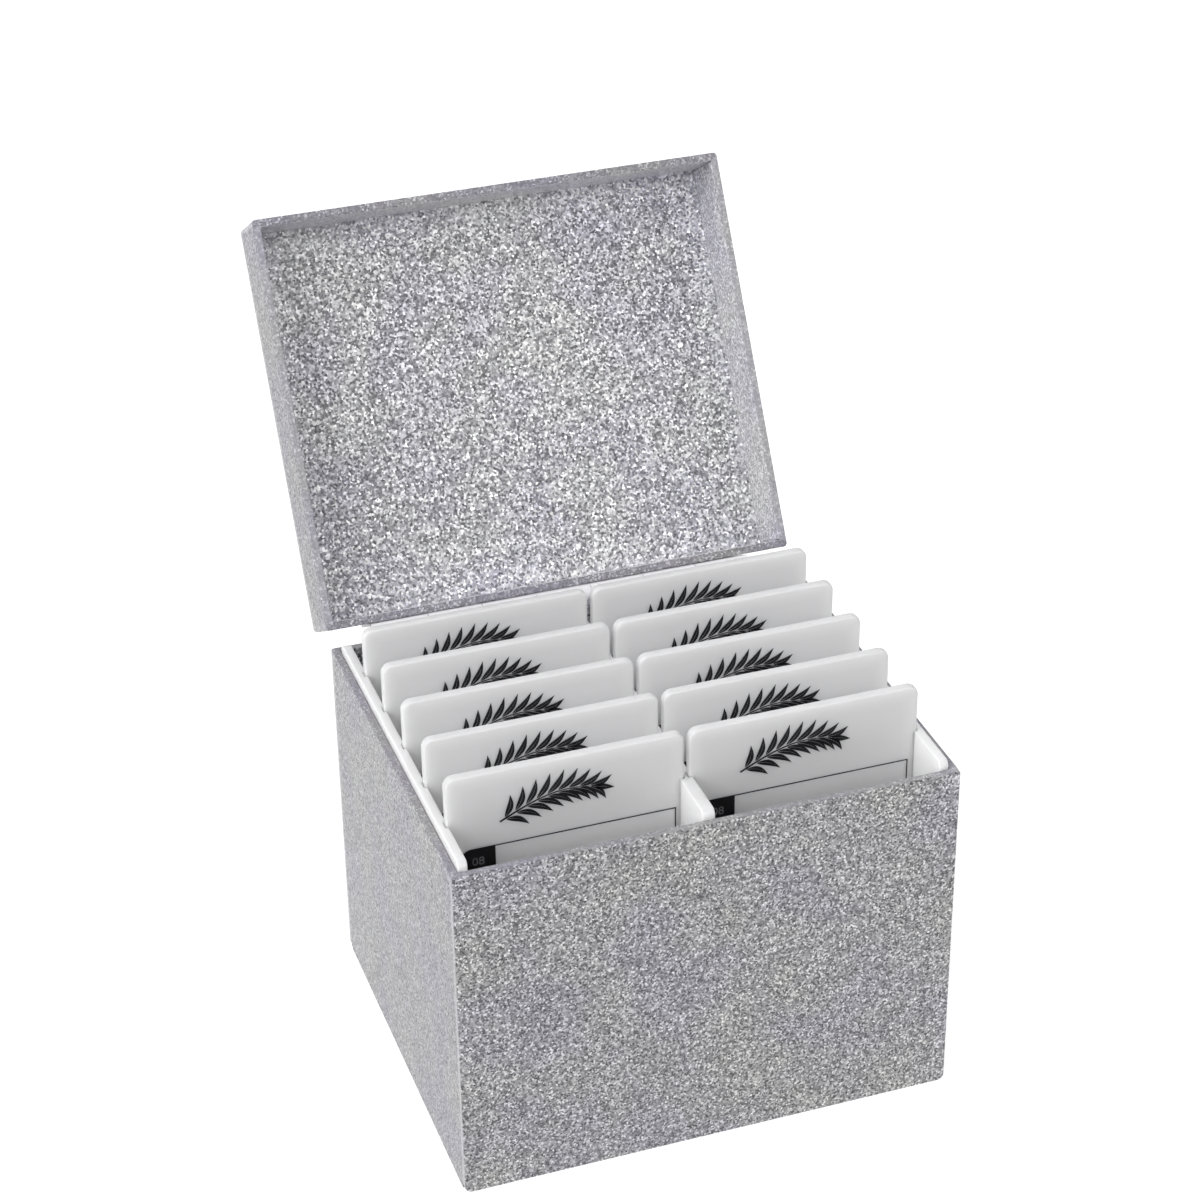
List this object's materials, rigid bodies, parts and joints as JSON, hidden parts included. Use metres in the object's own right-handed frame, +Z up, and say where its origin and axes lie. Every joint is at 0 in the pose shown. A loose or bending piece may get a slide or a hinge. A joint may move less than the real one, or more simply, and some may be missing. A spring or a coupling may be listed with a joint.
{
  "type": "eyelash storage box",
  "caption": "Glitter acrylic storage box with a hinged tray lid, grooved inner panels and upright lash tiles that lift out of their grooves.",
  "frame": {"origin": "centre of the base's underside, in the plane the box stands on", "axes": "+Z up, -Y towards the box's front, +X to the right as seen from the front"},
  "size_m": [0.175, 0.248, 0.2598],
  "materials": {
    "glitter_acrylic": "silver glitter cast in clear acrylic, polished",
    "white_acrylic": "opaque white acrylic, cut and polished",
    "tile_acrylic": "milky acrylic, satin, with black print",
    "hinge_plastic": "extruded off-white plastic",
    "pin_steel": "drawn steel rod",
    "print_ink": "screen-printed black ink on the tiles"
  },
  "bodies": {
    "box": {"front_wall": "glitter_acrylic", "back_wall": "glitter_acrylic", "left_wall": "glitter_acrylic", "right_wall": "glitter_acrylic", "floor_panel": "glitter_acrylic", "left_rail": "white_acrylic", "right_rail": "white_acrylic", "divider": "white_acrylic", "hinge_box_leaf": "hinge_plastic", "hinge_pin": "pin_steel"},
    "lid": {"lid_top_panel": "glitter_acrylic", "lid_front_flange": "glitter_acrylic", "lid_back_flange": "glitter_acrylic", "lid_left_flange": "glitter_acrylic", "lid_right_flange": "glitter_acrylic", "hinge_lid_leaf": "hinge_plastic"},
    "tile_left_1": {"tile_left_1": "tile_acrylic"},
    "tile_left_2": {"tile_left_2": "tile_acrylic"},
    "tile_left_3": {"tile_left_3": "tile_acrylic"},
    "tile_left_4": {"tile_left_4": "tile_acrylic"},
    "tile_left_5": {"tile_left_5": "tile_acrylic"},
    "tile_right_1": {"tile_right_1": "tile_acrylic"},
    "tile_right_2": {"tile_right_2": "tile_acrylic"},
    "tile_right_3": {"tile_right_3": "tile_acrylic"},
    "tile_right_4": {"tile_right_4": "tile_acrylic"},
    "tile_right_5": {"tile_right_5": "tile_acrylic"}
  },
  "joints": [
    {"name": "lid_hinge", "type": "hinge", "parent": "box", "child": "lid", "pos_m": [0, 0.0769, 0.13065], "axis": [-1, 0, 0], "range_deg": [-121, 0]},
    {"name": "lift_left_1", "type": "slide", "parent": "box", "child": "tile_left_1", "axis": [0, 0, 1], "range_m": [0, 0.13]},
    {"name": "lift_left_2", "type": "slide", "parent": "box", "child": "tile_left_2", "axis": [0, 0, 1], "range_m": [0, 0.13]},
    {"name": "lift_left_3", "type": "slide", "parent": "box", "child": "tile_left_3", "axis": [0, 0, 1], "range_m": [0, 0.13]},
    {"name": "lift_left_4", "type": "slide", "parent": "box", "child": "tile_left_4", "axis": [0, 0, 1], "range_m": [0, 0.13]},
    {"name": "lift_left_5", "type": "slide", "parent": "box", "child": "tile_left_5", "axis": [0, 0, 1], "range_m": [0, 0.13]},
    {"name": "lift_right_1", "type": "slide", "parent": "box", "child": "tile_right_1", "axis": [0, 0, 1], "range_m": [0, 0.13]},
    {"name": "lift_right_2", "type": "slide", "parent": "box", "child": "tile_right_2", "axis": [0, 0, 1], "range_m": [0, 0.13]},
    {"name": "lift_right_3", "type": "slide", "parent": "box", "child": "tile_right_3", "axis": [0, 0, 1], "range_m": [0, 0.13]},
    {"name": "lift_right_4", "type": "slide", "parent": "box", "child": "tile_right_4", "axis": [0, 0, 1], "range_m": [0, 0.13]},
    {"name": "lift_right_5", "type": "slide", "parent": "box", "child": "tile_right_5", "axis": [0, 0, 1], "range_m": [0, 0.13]}
  ]
}
